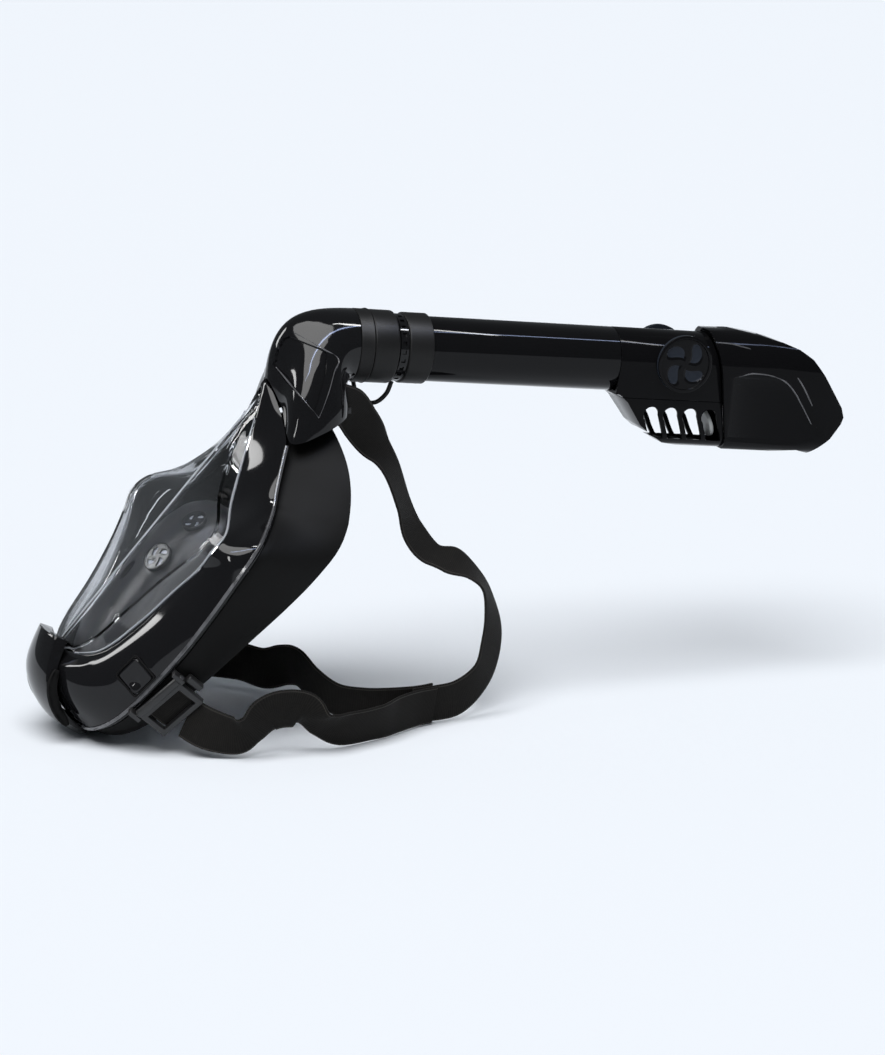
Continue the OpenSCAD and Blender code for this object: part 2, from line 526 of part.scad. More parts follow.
left_route = [[[-181.3, -71, 23.2], [-7, 5, -8]], [[-172, -80, 18], [-6, 3, -11]], [[-158, -89, 15], [-1, 4, -12]],
    [[-149, -92, 19], [1, 6, -11]], [[-141, -94, 27], [5, 3, -11]], [[-131, -94, 29.5], [5, 3, -11]],
    [[-118, -93, 27], [4, 4, -11]], [[-107, -92, 18], [4, 7, -9]], [[-92, -90, 13], [2, 6, -11]], [[-69, -82, 12.5], [2, 6, -11]],
    [[-53, -72, 13], [1, 4, -12]], [[-38, -63.4, 13], [1, 4, -12]], [[-27, -60.1, 13.1], [1, 4, -12]]];
right_route = [[[-181.3, 71, 23.2], [-7, -5, -8]], [[-168, 78, 20], [-4, -2, -12]], [[-150, 76, 18], [0, 2, -12]],
    [[-132, 66, 19], [0, 4, -11]], [[-114, 50, 20], [-1, 3, -12]], [[-103, 32, 19], [-2, 3, -12]], [[-96, 14, 25], [0, 3, -12]],
    [[-92, -2, 27], [0, 3, -12]], [[-87, -18, 20], [0, 5, -11]], [[-78, -34, 14], [1, 5, -11]], [[-66, -45, 12.5], [1, 4, -12]],
    [[-52, -52, 13], [1, 4, -12]], [[-38, -56.6, 14], [1, 4, -12]], [[-28, -55.6, 14.4], [1, 4, -12]]];
module upper_strap() { color([0.14, 0.14, 0.14]) strip_solid(webbing_rows(upper_route)); }
module lower_strap_left() { color([0.14, 0.14, 0.14]) strip_solid(webbing_rows(left_route)); }
module lower_strap_right() { color([0.14, 0.14, 0.14]) strip_solid(webbing_rows(right_route)); }
module strap_bracket() {
    color([0.08, 0.08, 0.09]) translate([-65, 0, 184]) {
        rotate([90, 0, 0]) cylinder(h = 31, r = 1.8, center = true, $fn = 32);
        for (s = [-1, 1]) translate([-2, s * 15.5 - 1.3, -1.8]) cube([4, 2.6, 3.5]);
    }
}

visor();
visor_frame();
top_hood();
skirt();
skirt_clamp_ring();
nose_pocket();
check_cage(-1, 1);  // check_cage_upper_left
check_cage(-1, 0);  // check_cage_lower_left
check_cage(1, 1);  // check_cage_upper_right
check_cage(1, 0);  // check_cage_lower_right
check_flap(-1, 1);  // check_flap_upper_left
check_flap(-1, 0);  // check_flap_lower_left
check_flap(1, 1);  // check_flap_upper_right
check_flap(1, 0);  // check_flap_lower_right
chin_cover();
drain_valve_seat();
drain_valve_flap();
release_button(-1);  // release_button_left
release_button(1);  // release_button_right
buckle_base(-1);  // buckle_base_left
buckle_base(1);  // buckle_base_right
buckle_pin(-1);  // buckle_pin_left
buckle_pin(1);  // buckle_pin_right
lower_buckle(-1);  // lower_buckle_left
lower_buckle(1);  // lower_buckle_right
neck_socket();
neck_ring();
socket_cuff();
plug();
plug_o_ring();
tube_cuff();
tether();
snorkel_tube();
channel_walls();
dry_top_housing();
intake_grille();
top_cap();
exhaust_cover(-1);  // exhaust_cover_left
exhaust_cover(1);  // exhaust_cover_right
exhaust_flap(-1);  // exhaust_flap_left
exhaust_flap(1);  // exhaust_flap_right
float_guide();
float();
strap_bracket();
upper_strap();
lower_strap_left();
lower_strap_right();
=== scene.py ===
import math

import bpy
import numpy as np
from mathutils import Matrix, Vector


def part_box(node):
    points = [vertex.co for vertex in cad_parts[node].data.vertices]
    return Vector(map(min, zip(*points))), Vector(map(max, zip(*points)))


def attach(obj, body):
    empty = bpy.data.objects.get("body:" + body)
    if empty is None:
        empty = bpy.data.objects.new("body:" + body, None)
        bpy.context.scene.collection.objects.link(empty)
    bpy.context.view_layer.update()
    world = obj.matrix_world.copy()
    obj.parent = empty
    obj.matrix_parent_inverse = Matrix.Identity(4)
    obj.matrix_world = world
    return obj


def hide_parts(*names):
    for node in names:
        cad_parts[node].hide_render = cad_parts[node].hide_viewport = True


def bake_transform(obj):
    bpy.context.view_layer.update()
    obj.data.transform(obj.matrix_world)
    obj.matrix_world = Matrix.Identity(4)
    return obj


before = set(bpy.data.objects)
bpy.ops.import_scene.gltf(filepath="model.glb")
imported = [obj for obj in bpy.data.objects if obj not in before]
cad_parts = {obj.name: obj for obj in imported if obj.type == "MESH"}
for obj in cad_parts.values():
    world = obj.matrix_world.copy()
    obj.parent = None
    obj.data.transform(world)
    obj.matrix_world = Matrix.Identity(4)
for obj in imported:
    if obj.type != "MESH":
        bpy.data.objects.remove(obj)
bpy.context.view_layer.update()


VIEW_TURN = math.radians(-20)
VIEW_RISE = math.radians(13)
VIEW_AIM = Vector((0.0, 0.0, 0.105))
VIEW_FAR = 2.3
SEEN_WIDTH = 0.531
MM = 0.001

toward_camera = Vector((math.sin(VIEW_TURN) * math.cos(VIEW_RISE),
                        -math.cos(VIEW_TURN) * math.cos(VIEW_RISE), math.sin(VIEW_RISE)))
bpy.ops.object.select_all(action="DESELECT")
bpy.ops.object.camera_add(location=VIEW_AIM + toward_camera * VIEW_FAR,
                          rotation=toward_camera.to_track_quat("Z", "Y").to_euler())
camera = bpy.context.object
camera.name = "camera"
camera.data.sensor_fit = "HORIZONTAL"
camera.data.lens = camera.data.sensor_width * VIEW_FAR / SEEN_WIDTH
camera.data.clip_end = 60
bpy.context.scene.camera = camera
bpy.context.scene.view_settings.view_transform = "Standard"

world = bpy.data.worlds.new("studio")
bpy.context.scene.world = world
world.use_nodes = True
sky = world.node_tree.nodes["Background"]
sky.inputs["Color"].default_value = (0.86, 0.93, 1.0, 1)
sky.inputs["Strength"].default_value = 0.16

bpy.ops.object.light_add(type="SUN", location=(0, 0, 2))
sun = bpy.context.object
sun.name = "high_diffuser"
sun.data.energy = 3.4
sun.data.angle = math.radians(50)
sun.rotation_euler = (math.radians(20), math.radians(-16), 0)


def soft_box(name, place, aim, size, power, tint=(1, 1, 1)):
    """A rectangular studio light that faces a point and shows only in glossy surfaces."""
    bpy.ops.object.light_add(type="AREA", location=place)
    lamp = bpy.context.object
    lamp.name = name
    lamp.data.shape = "RECTANGLE"
    lamp.data.size, lamp.data.size_y = size
    lamp.data.energy = power
    lamp.data.color = tint
    lamp.visible_diffuse = False
    lamp.rotation_euler = (Vector(place) - Vector(aim)).to_track_quat("Z", "Y").to_euler()


soft_box("strip_light", (0.3, -0.5, 1.5), (0.2, 0, 0.15), (2.4, 0.05), 11, (0.55, 0.66, 1))
soft_box("band_light", (0.38, -0.3, 1.5), (-0.09, 0, 0.22), (0.07, 0.6), 6)
soft_box("front_panel", (-1.5, -1.3, 0.75), (-0.1, 0, 0.1), (0.14, 0.5), 4)
soft_box("rim_panel", (-1.5, 0.9, 1.2), (-0.15, 0, 0.1), (0.35, 0.9), 14)

bpy.ops.mesh.primitive_plane_add(size=60)
floor = bpy.context.object
floor.name = "floor"
floor_paint = bpy.data.materials.new("floor_paint")
floor_paint.use_nodes = True
paint = floor_paint.node_tree.nodes["Principled BSDF"]
paint.inputs["Base Color"].default_value = (0.80, 0.834, 0.882, 1)
paint.inputs["Roughness"].default_value = 0.9
paint.inputs["Specular IOR Level"].default_value = 0.1
floor.data.materials.append(floor_paint)


# ---------------------------------------------------------------- the frame around the visor
# Injection-moulded ABS, polished to a mirror in the tool and black right through. Handling
# leaves faint smears that break its gloss a little.
class Value:
    """One output of a material's nodes, so that the maths between them reads as plain sums."""

    def __init__(self, finish, socket):
        self.finish = finish
        self.socket = socket

    def worked(self, operation, first, second=0.0):
        return self.finish.node("ShaderNodeMath", {"operation": operation}, {0: first, 1: second})

    def __add__(self, other):
        return self.worked("ADD", self, other)

    def __sub__(self, other):
        return self.worked("SUBTRACT", self, other)

    def __rsub__(self, other):
        return self.worked("SUBTRACT", other, self)

    def __mul__(self, other):
        return self.worked("MULTIPLY", self, other)

    def above(self, other):
        return self.worked("GREATER_THAN", self, other)

    def at_least(self, other):
        return self.worked("MAXIMUM", self, other)

    def unsigned(self):
        return self.worked("ABSOLUTE", self)

    def wave(self):
        return self.worked("SINE", self) * 0.5 + 0.5

    __radd__ = __add__
    __rmul__ = __mul__


class Finish:
    """A material around one Principled shader. Constants go straight on its sockets."""

    def __init__(self, name, **constants):
        self.material = bpy.data.materials.new(name)
        self.material.use_nodes = True
        self.tree = self.material.node_tree
        self.shader = self.tree.nodes["Principled BSDF"]
        for socket, value in constants.items():
            self.shader.inputs[socket.replace("_", " ")].default_value = value
        self.place = self.node("ShaderNodeTexCoord", out="Object")

    def node(self, kind, settings=None, inputs=None, out=0):
        made = self.tree.nodes.new(kind)
        for name, value in (settings or {}).items():
            setattr(made, name, value)
        for name, value in (inputs or {}).items():
            if isinstance(value, Value):
                self.tree.links.new(value.socket, made.inputs[name])
            else:
                made.inputs[name].default_value = value
        return Value(self, made.outputs[out])

    def noise(self, scale, detail=3):
        return self.node("ShaderNodeTexNoise", None, {"Vector": self.place, "Scale": scale,
                                                      "Detail": detail})

    def part(self, vector, axis):
        return self.node("ShaderNodeSeparateXYZ", None, {"Vector": vector}, out=axis)

    def colours(self, mix, first, second):
        return self.node("ShaderNodeMix", {"data_type": "RGBA"}, {0: mix, 6: first, 7: second}, out=2)

    def feed(self, socket, value):
        self.tree.links.new(value.socket, self.shader.inputs[socket])

    def bump(self, height, depth, strength=1.0):
        self.feed("Normal", self.node("ShaderNodeBump", None, {"Height": height, "Distance": depth,
                                                               "Strength": strength}))


def polished_black(name, shade=0.004, gloss=0.04, specular=0.3):
    """Tool-polished plastic with handling smears and a little dust."""
    finish = Finish(name, Specular_IOR_Level=specular, IOR=1.5)
    smear = finish.noise(11, 3)
    dust = (finish.noise(700, 1) - 0.66) * 6
    finish.feed("Base Color", finish.colours(smear, (shade, shade, shade * 1.15, 1),
                                             (shade * 1.6, shade * 1.6, shade * 1.8, 1)))
    finish.feed("Roughness", smear * 0.05 + gloss + dust.at_least(0.0) * 0.05)
    return finish.material


def clouded(name, scale, dark, light, spread, rough, **constants):
    """A finish whose colour and roughness drift together between two states."""
    finish = Finish(name, **constants)
    cloud = finish.noise(scale)
    finish.feed("Base Color", finish.colours(cloud, dark, light))
    finish.feed("Roughness", cloud * spread + rough)
    return finish


POLISHED = polished_black("polished_black")
SIDES = ((-1, "left"), (1, "right"))


def only(piece):
    """Makes a piece the only one selected, and the active one."""
    bpy.ops.object.select_all(action="DESELECT")
    piece.select_set(True)
    bpy.context.view_layer.objects.active = piece


def paint_with(piece, material):
    piece.data.materials.clear()
    piece.data.materials.append(material)


def edit_all():
    """Opens the active piece's mesh with all of it selected."""
    bpy.ops.object.mode_set(mode="EDIT")
    bpy.ops.mesh.select_all(action="SELECT")


def face_outwards():
    """Turns every face of the active piece outwards."""
    edit_all()
    bpy.ops.mesh.normals_make_consistent(inside=False)
    bpy.ops.object.mode_set(mode="OBJECT")


def apply_all(piece):
    only(piece)
    for modifier in list(piece.modifiers):
        bpy.ops.object.modifier_apply(modifier=modifier.name)


def finished(piece, material, slot, body, *nodes):
    """The last steps of a piece: its finish, the body that carries it, the solids it stands for."""
    paint_with(piece, material)
    if body:
        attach(piece, body)
    if nodes:
        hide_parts(*nodes)


def copy_of(node, name):
    """A new piece that starts as the exact solid of one part."""
    piece = bpy.data.objects.new(name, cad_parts[node].data.copy())
    bpy.context.collection.objects.link(piece)
    only(piece)
    edit_all()
    bpy.ops.mesh.customdata_custom_splitnormals_clear()
    bpy.ops.mesh.remove_doubles(threshold=0.02 * MM)
    bpy.ops.object.mode_set(mode="OBJECT")
    return piece


def edges_by(piece, test):
    """Selects in edit mode each edge whose two ends pass a test."""
    bpy.ops.object.mode_set(mode="EDIT")
    bpy.ops.mesh.select_mode(type="EDGE")
    bpy.ops.mesh.select_all(action="DESELECT")
    bpy.ops.object.mode_set(mode="OBJECT")
    points = piece.data.vertices
    for edge in piece.data.edges:
        edge.select = test(points[edge.vertices[0]].co, points[edge.vertices[1]].co)
    bpy.ops.object.mode_set(mode="EDIT")


def faces_by(piece, test):
    """Selects in edit mode each face that passes a test."""
    bpy.ops.object.mode_set(mode="EDIT")
    bpy.ops.mesh.select_mode(type="FACE")
    bpy.ops.mesh.select_all(action="DESELECT")
    bpy.ops.object.mode_set(mode="OBJECT")
    for face in piece.data.polygons:
        face.select = test(face)
    bpy.ops.object.mode_set(mode="EDIT")


def smooth_moulding(piece, rounds=2, sharp=35, hold=0.55, keep=None):
    """Turns a solid's facets into quads, holds its edges and gives it a subdivided surface."""
    only(piece)
    edit_all()
    bpy.ops.mesh.tris_convert_to_quads(face_threshold=math.radians(60),
                                       shape_threshold=math.radians(170))
    bpy.ops.mesh.select_mode(type="EDGE")
    bpy.ops.mesh.select_all(action="DESELECT")
    bpy.ops.mesh.edges_select_sharp(sharpness=math.radians(sharp))
    bpy.ops.transform.edge_crease(value=hold)
    if keep:
        edges_by(piece, keep)
        bpy.ops.transform.edge_crease(value=1)
    bpy.ops.object.mode_set(mode="OBJECT")
    surface = piece.modifiers.new("smooth", "SUBSURF")
    surface.levels = surface.render_levels = rounds
    apply_all(piece)
    bpy.ops.object.shade_smooth_by_angle(angle=math.radians(40))


visor_frame = copy_of("visor_frame", "frame_moulding")
smooth_moulding(visor_frame, sharp=30, hold=0.7)
finished(visor_frame, POLISHED, "gloss_black", "mask", "visor_frame")


def curve_through(rows, steps):
    """A smooth open curve through rows of points."""
    out = []
    for i in range(len(rows) - 1):
        a, b, c, d = (Vector(rows[min(max(i + j, 0), len(rows) - 1)]) for j in (-1, 0, 1, 2))
        for k in range(steps):
            t = k / steps
            out.append(0.5 * (2 * b + (c - a) * t + (2 * a - 5 * b + 4 * c - d) * t * t
                              + (3 * b - a - 3 * c + d) * t ** 3))
    return out + [Vector(rows[-1])]


def ribbon(name, route, width, thick, steps=8, taper=0.0):
    """A flat band with rounded edges through rows of a middle and a direction across, in mm.
    Its UV map holds the real length and place across, in metres. A taper thins its ends."""
    middles = curve_through([row[0] for row in route], steps)
    sides = curve_through([row[1] for row in route], steps)
    half, deep = width / 2, thick / 2
    outline = [(-half, 0), (-half + deep * 0.4, deep * 0.8), (-half + deep, deep)]
    outline += [(half * share, deep) for share in (-0.75, -0.4, 0, 0.4, 0.75)]
    outline += [(half - deep, deep), (half - deep * 0.4, deep * 0.8), (half, 0)]
    outline += [(x, -z) for x, z in reversed(outline[1:-1])]
    count, last = len(outline), len(middles) - 1
    points, along, run = [], [], 0.0
    for i, middle in enumerate(middles):
        heading = middles[min(i + 1, last)] - middles[max(i - 1, 0)]
        across = (sides[i] - heading * (sides[i].dot(heading) / heading.length_squared)).normalized()
        up = heading.cross(across).normalized()
        run += (middle - middles[max(i - 1, 0)]).length * MM
        fit = 1 - taper * abs(2 * i / last - 1) ** 4
        for x, z in outline:
            points.append((middle + across * x * fit + up * z * fit) * MM)
            along.append((run, x * MM))
    faces = []
    for row in range(0, last * count, count):
        for j in range(count):
            then = (j + 1) % count
            faces.append((row + j, row + then, row + count + then, row + count + j))
    faces += [tuple(range(count - 1, -1, -1)), tuple(range(last * count, last * count + count))]
    mesh = bpy.data.meshes.new(name)
    mesh.from_pydata(points, [], faces)
    layer = mesh.uv_layers.new(name="run")
    for loop in mesh.loops:
        layer.data[loop.index].uv = along[loop.vertex_index]
    band = bpy.data.objects.new(name, mesh)
    bpy.context.collection.objects.link(band)
    only(band)
    face_outwards()
    bpy.ops.object.shade_smooth_by_angle(angle=math.radians(50))
    return band


LEAN = math.radians(42)
CHIN_X, CHIN_Z = -239.5, 53.6


def from_mask(back, across, up):
    """A place in the leaning mask's own frame, in mm, put into the object's frame."""
    return (CHIN_X + back * math.cos(LEAN) + up * math.sin(LEAN), across,
            CHIN_Z - back * math.sin(LEAN) + up * math.cos(LEAN))


# The lip along the back edge of the frame, a fine bead painted lighter grey as a painted highlight.
GLEAM = clouded("painted_highlight_edge", 90, (0.01, 0.01, 0.011, 1), (0.16, 0.16, 0.17, 1), 0.2, 0.08,
                Specular_IOR_Level=0.8).material
LIP = ((-27, 0, 37), (-24, 32, 38), (-4, 56, 38), (36, 76, 34), (66, 88, 29), (92, 94, 25), (117, 92, 23.5),
       (137, 64, 28), (151.8, 51, 24.7), (173.5, 38, 18.5))
LIP_WIDE = 2.0
LIP_THICK = 1.8
for side, word in SIDES:
    route = [(from_mask(back, side * half, up), (0, -side * 0.4, 1)) for up, half, back in LIP]
    lip = ribbon("frame_lip_" + word, route, LIP_WIDE, LIP_THICK)
    finished(lip, GLEAM, "gloss_black", "mask")


# ---------------------------------------------------------------- the top hood and elbow
# The same black ABS in its own moulding. It snaps over the top of the frame and turns the air
# from the mask into the tube; a flat panel is sunk into each side, and fine creases mark its facets.
HOOD_PANEL = ((-112, 222), (-98, 229), (-80, 222), (-84, 208), (-93, 190), (-102, 200))
HOOD_CREASES = (((-112, 222), (-106, 211), (-100, 198.4), (-91, 186)),
                ((-95.5, 231), (-84, 224), (-74, 217), (-77.6, 210), (-84, 198), (-91, 186)),
                ((-101, 169), (-96, 169), (-88, 173), (-73, 182)))
CREASE_WIDE = 0.9
CREASE_THICK = 0.7


def inside(outline, x, z):
    """Whether a place in the side view lies within an outline."""
    hit = False
    for (ax, az), (bx, bz) in zip(outline, outline[1:] + outline[:1]):
        if (az > z) != (bz > z) and x < ax + (z - az) * (bx - ax) / (bz - az):
            hit = not hit
    return hit


def sunk_panel(piece, outline, facing, off_middle, margin, depth):
    """Cuts an outline through a piece and sinks the faces within it, on both sides."""
    for (ax, az), (bx, bz) in zip(outline, outline[1:] + outline[:1]):
        edit_all()
        bpy.ops.mesh.bisect(plane_co=(ax * MM, 0, az * MM),
                            plane_no=Vector((bz - az, 0, ax - bx)).normalized())
        bpy.ops.object.mode_set(mode="OBJECT")
    for side in (-1, 1):
        faces_by(piece, lambda face: face.normal.y * side > facing
                 and face.center.y * side > off_middle * MM
                 and inside(outline, face.center.x / MM, face.center.z / MM))
        bpy.ops.mesh.inset(thickness=margin * MM, depth=-depth * MM)
        bpy.ops.object.mode_set(mode="OBJECT")


hood = copy_of("top_hood", "hood_moulding")
smooth_moulding(hood, sharp=30, hold=0.7)
sunk_panel(hood, HOOD_PANEL, 0.15, 6, 0.6, 1.2)
bpy.ops.object.shade_smooth_by_angle(angle=math.radians(30))
finished(hood, POLISHED, "gloss_black", "mask", "top_hood")


def creases(piece, lines, body, name):
    """Fine edge beads, coloured lighter grey as a painted highlight, that lie on both sides of a piece,
    through places given in mm.
    """
    for number, line in enumerate(lines, 1):
        for side, word in SIDES:
            route = []
            for x, z in line:
                start = Vector((x * MM, side * 0.1, z * MM))
                found, spot = piece.ray_cast(start, Vector((0, -side, 0)))[:2]
                if found:
                    route.append((spot / MM, (0.3, 0, 1)))
            if len(route) > 1:
                edge = ribbon(name + "_" + str(number) + "_" + word, route, CREASE_WIDE, CREASE_THICK,
                              taper=0.5)
                finished(edge, GLEAM, "gloss_black", body)


# The hood's creases are beads painted lighter grey: a painted highlight on its facet edges.
creases(hood, HOOD_CREASES, "mask", "hood_crease")


# ---------------------------------------------------------------- the visor
# Clear polycarbonate in one moulding with a straight keel down the middle, a fold near its
# edge and a hard coat. Its walls are thick; the pale beads along its keel and rim are a painted highlight on
# its edges.
clear_finish = Finish("clear_plastic", Base_Color=(0.93, 0.94, 0.955, 1), Transmission_Weight=1.0,
                      IOR=1.45)
clear_finish.feed("Roughness", clear_finish.noise(8, 2) * 0.03)


def on_keel(a, b):
    return abs(a.y) < 0.3 * MM and abs(b.y) < 0.3 * MM


visor = copy_of("visor", "visor_shell")
smooth_moulding(visor, sharp=22, hold=0.8, keep=on_keel)
finished(visor, clear_finish.material, "clear_visor", "mask", "visor")
# Pale whitish beads on the keel and rim: a painted highlight along the visor's edges.
HIGHLIGHT_BEAD = clouded("painted_highlight_bead", 45, (0.55, 0.57, 0.62, 1), (0.9, 0.92, 0.96, 1), 0.2, 0.05,
               Transmission_Weight=0.55, IOR=1.45).material
KEEL_STEPS = (6, 30, 60, 90, 120, 150, 180)
KEEL_WIDE = 1.5
KEEL_THICK = 0.9
RIM = ((4, 20, 5), (16, 36, 11), (42, 47, 14), (67, 60, 13), (86, 74, 11), (99, 83, 7), (112, 77, 9),
       (128, 44, 12), (152, 20, 10), (176, 10, 3))
RIM_WIDE = 1.4
RIM_THICK = 1.0
route = [(from_mask(-0.5, 0, up), (0, 1, 0)) for up in KEEL_STEPS]
keel = ribbon("visor_keel_bead", route, KEEL_WIDE, KEEL_THICK, taper=0.6)
finished(keel, HIGHLIGHT_BEAD, "clear_visor", "mask")
for side, word in SIDES:
    route = [(from_mask(back - 0.6, side * half, up), (0, side, 0.3)) for up, half, back in RIM]
    rim = ribbon("visor_rim_bead_" + word, route, RIM_WIDE, RIM_THICK, taper=0.6)
    finished(rim, HIGHLIGHT_BEAD, "clear_visor", "mask")


# ---------------------------------------------------------------- the skirt and its clamp ring
# Liquid silicone, matt from a blasted tool, that seals against the face. A hard black ring
# holds its edge in the back of the frame.
def matt_silicone(name, shade=0.0032, rough=0.5, specular=0.1):
    """Soft black rubber with a fine blasted grain."""
    finish = clouded(name, 16, (shade, shade, shade, 1),
                     (shade * 1.7, shade * 1.65, shade * 1.6, 1), 0.14, rough,
                     Specular_IOR_Level=specular)
    finish.bump(finish.noise(1400, 2), 0.04 * MM, 0.6)
    return finish.material


SILICONE = matt_silicone("matt_silicone")
skirt = copy_of("skirt", "face_skirt")
smooth_moulding(skirt, sharp=50, hold=0.5)
finished(skirt, SILICONE, "silicone", "mask", "skirt")
clamp_ring = copy_of("skirt_clamp_ring", "clamp_ring")
smooth_moulding(clamp_ring, sharp=80)
finished(clamp_ring, POLISHED, "gloss_black", "mask", "skirt_clamp_ring")


# ---------------------------------------------------------------- the nose pocket
# A softer cup of smoky grey silicone over the nose and mouth. It keeps the breath out of the
# eye chamber, and its rim is thin.
SMOKED = clouded("smoked_silicone", 24, (0.014, 0.014, 0.016, 1), (0.034, 0.034, 0.037, 1), 0.2, 0.28,
                 Specular_IOR_Level=0.4).material
pocket = copy_of("nose_pocket", "nose_cup")
smooth_moulding(pocket, rounds=1, sharp=60)
finished(pocket, SMOKED, "silicone", "mask", "nose_pocket")


# ---------------------------------------------------------------- the check valves
# Four snap-in cages of hard nylon on the nose pocket, each with four curved openings in a
# swirl, and a thin clear silicone flap behind that lets breath through one way.
def place_of(node, outward):
    """The frame of a flat round solid: its middle, with Z out along its axis."""
    points = np.array([v.co[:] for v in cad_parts[node].data.vertices])
    middle = (points.max(0) + points.min(0)) / 2
    axis = Vector(np.linalg.eigh(np.cov((points - points.mean(0)).T))[1][:, 0])
    if axis.dot(Vector(outward)) < 0:
        axis = -axis
    return Matrix.Translation(middle) @ axis.to_track_quat("Z", "Y").to_matrix().to_4x4()


def petal(x, y, radius, hand):
    """How deep in one of four swirling petals a place lies, from 0 outside to 1 well inside."""
    far = math.hypot(x, y) / radius
    turn = math.atan2(y, x) * hand + far * 1.1
    off = (turn / (math.pi / 2) + 0.5) % 1 - 0.5
    across = 0.4 * math.sin(min(max((far - 0.12) / 0.7, 0), 1) * math.pi) ** 0.45
    return min(max((across - abs(off)) * far * 9, 0), 1)


def swirl_disc(name, at, radius, thick, rings, hand, sink):
    """A round cover with a raised rim. Its petals are sunk, or cut right through where sink is 0."""
    bpy.ops.object.select_all(action="DESELECT")
    bpy.ops.mesh.primitive_circle_add(vertices=96, radius=radius, fill_type="NGON")
    disc = bpy.context.object
    disc.name = name
    bpy.ops.object.mode_set(mode="EDIT")
    bpy.ops.mesh.extrude_region_move(TRANSFORM_OT_translate={"value": (0, 0, thick)})
    bpy.ops.mesh.inset(thickness=radius * 0.03, depth=radius * 0.02)
    bpy.ops.mesh.inset(thickness=radius * 0.07)
    bpy.ops.mesh.inset(thickness=radius * 0.025, depth=-radius * 0.05)
    for _ in range(rings):
        bpy.ops.mesh.inset(thickness=radius * 0.86 / (rings + 0.5))
    bpy.ops.object.mode_set(mode="OBJECT")
    top = thick * 0.5
    if sink:
        for point in disc.data.vertices:
            if point.co.z > top:
                point.co.z -= sink * petal(point.co.x, point.co.y, radius, hand)
    else:
        faces_by(disc, lambda face: petal(face.center.x, face.center.y, radius, hand) > 0.5)
        bpy.ops.mesh.delete(type="FACE")
        faces_by(disc, lambda face: face.center.z < 0.01 * MM)
        bpy.ops.mesh.delete(type="FACE")
        bpy.ops.object.mode_set(mode="OBJECT")
        wall = disc.modifiers.new("wall", "SOLIDIFY")
        wall.thickness = thick * 0.5
        wall.offset = -1
    apply_all(disc)
    disc.data.transform(at)
    bpy.ops.object.shade_smooth_by_angle(angle=math.radians(35))
    return disc


FORWARD = (-0.743, 0, 0.669)
NYLON = polished_black("cage_nylon", 0.012, 0.2, 0.4)
FLAP = clouded("clear_silicone", 60, (0.28, 0.31, 0.36, 1), (0.5, 0.53, 0.58, 1), 0.2, 0.2,
               Specular_IOR_Level=0.5).material
CAGE_THICK = 2.4
CAGE_RADII = (("lower", 9.0), ("upper", 7.2))
for level, radius in CAGE_RADII:
    for side, hand in (("left", 1), ("right", -1)):
        node = "check_cage_" + level + "_" + side
        at = place_of(node, FORWARD) @ Matrix.Translation((0, 0, -CAGE_THICK / 2 * MM))
        cage = swirl_disc("swirl_cage_" + level + "_" + side, at, radius * MM, CAGE_THICK * MM, 9,
                          hand, 0)
        finished(cage, NYLON, "satin_black", "mask", node)
        paint_with(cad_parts["check_flap_" + level + "_" + side], FLAP)


# ---------------------------------------------------------------- the chin cover and drain valve
# A black bowl that clips under the chin over a one-way drain valve. A thick curved rib stands
# along each side, and a slot behind it lets the water out.
chin = copy_of("chin_cover", "chin_bowl")
smooth_moulding(chin, sharp=40, hold=0.85)
finished(chin, POLISHED, "gloss_black", "mask", "chin_cover")
RIB = ((1.5, -10), (5, -18.5), (11.5, -25), (19.5, -29), (28, -31.3))
RIB_OUT = 23.2
RIB_BOW = 0.8
RIB_WIDE = 6.5
RIB_THICK = 4.5
rib_across = Vector(from_mask(1.2, 0, 2.2)) - Vector(from_mask(0, 0, 0))
for side, word in SIDES:
    route = []
    for i, (back, up) in enumerate(RIB):
        out = RIB_OUT + RIB_BOW * math.sin(math.pi * i / (len(RIB) - 1))
        route.append((from_mask(back, side * out, up), rib_across))
    rib = ribbon("chin_rib_" + word, route, RIB_WIDE, RIB_THICK, taper=0.6)
    finished(rib, SILICONE, "black_rubber", "mask")
paint_with(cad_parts["drain_valve_seat"], NYLON)
paint_with(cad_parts["drain_valve_flap"], FLAP)


# ---------------------------------------------------------------- buttons, buckles and bracket
# Satin glass-filled nylon. The buttons fill square openings in the frame and let its catches
# go; each buckle is a frame that swings on a steel pin, with the webbing folded through it.
def softened(node, name, width, steps=3):
    """A copy of an exact solid with its hard edges rounded."""
    piece = copy_of(node, name)
    edit_all()
    bpy.ops.mesh.dissolve_limited(angle_limit=math.radians(1))
    bpy.ops.object.mode_set(mode="OBJECT")
    edge = piece.modifiers.new("edge", "BEVEL")
    edge.width = width * MM
    edge.segments = steps
    edge.limit_method = "ANGLE"
    edge.angle_limit = math.radians(40)
    apply_all(piece)
    bpy.ops.object.shade_smooth_by_angle(angle=math.radians(35))
    return piece


satin_finish = clouded("satin_nylon", 25, (0.010, 0.010, 0.0105, 1), (0.018, 0.018, 0.0185, 1), 0.12, 0.3,
                       Specular_IOR_Level=0.45)
satin_finish.bump(satin_finish.noise(1100, 2), 0.03 * MM, 0.5)
SATIN = satin_finish.material
steel_finish = Finish("pin_steel", Base_Color=(0.55, 0.55, 0.57, 1), Metallic=1.0)
steel_finish.feed("Roughness", steel_finish.noise(300, 2) * 0.25 + 0.2)
STEEL = steel_finish.material


def placed(back, across, up, *turns):
    """The frame of a small part on the left of the mask, turned about its own axes in degrees."""
    place = (Matrix.Translation(Vector(from_mask(0, 0, 0)) * MM) @ Matrix.Rotation(LEAN, 4, "Y")
             @ Matrix.Translation(Vector((back, across, up)) * MM))
    for angle, axis in turns:
        place = place @ Matrix.Rotation(math.radians(angle), 4, axis)
    return place


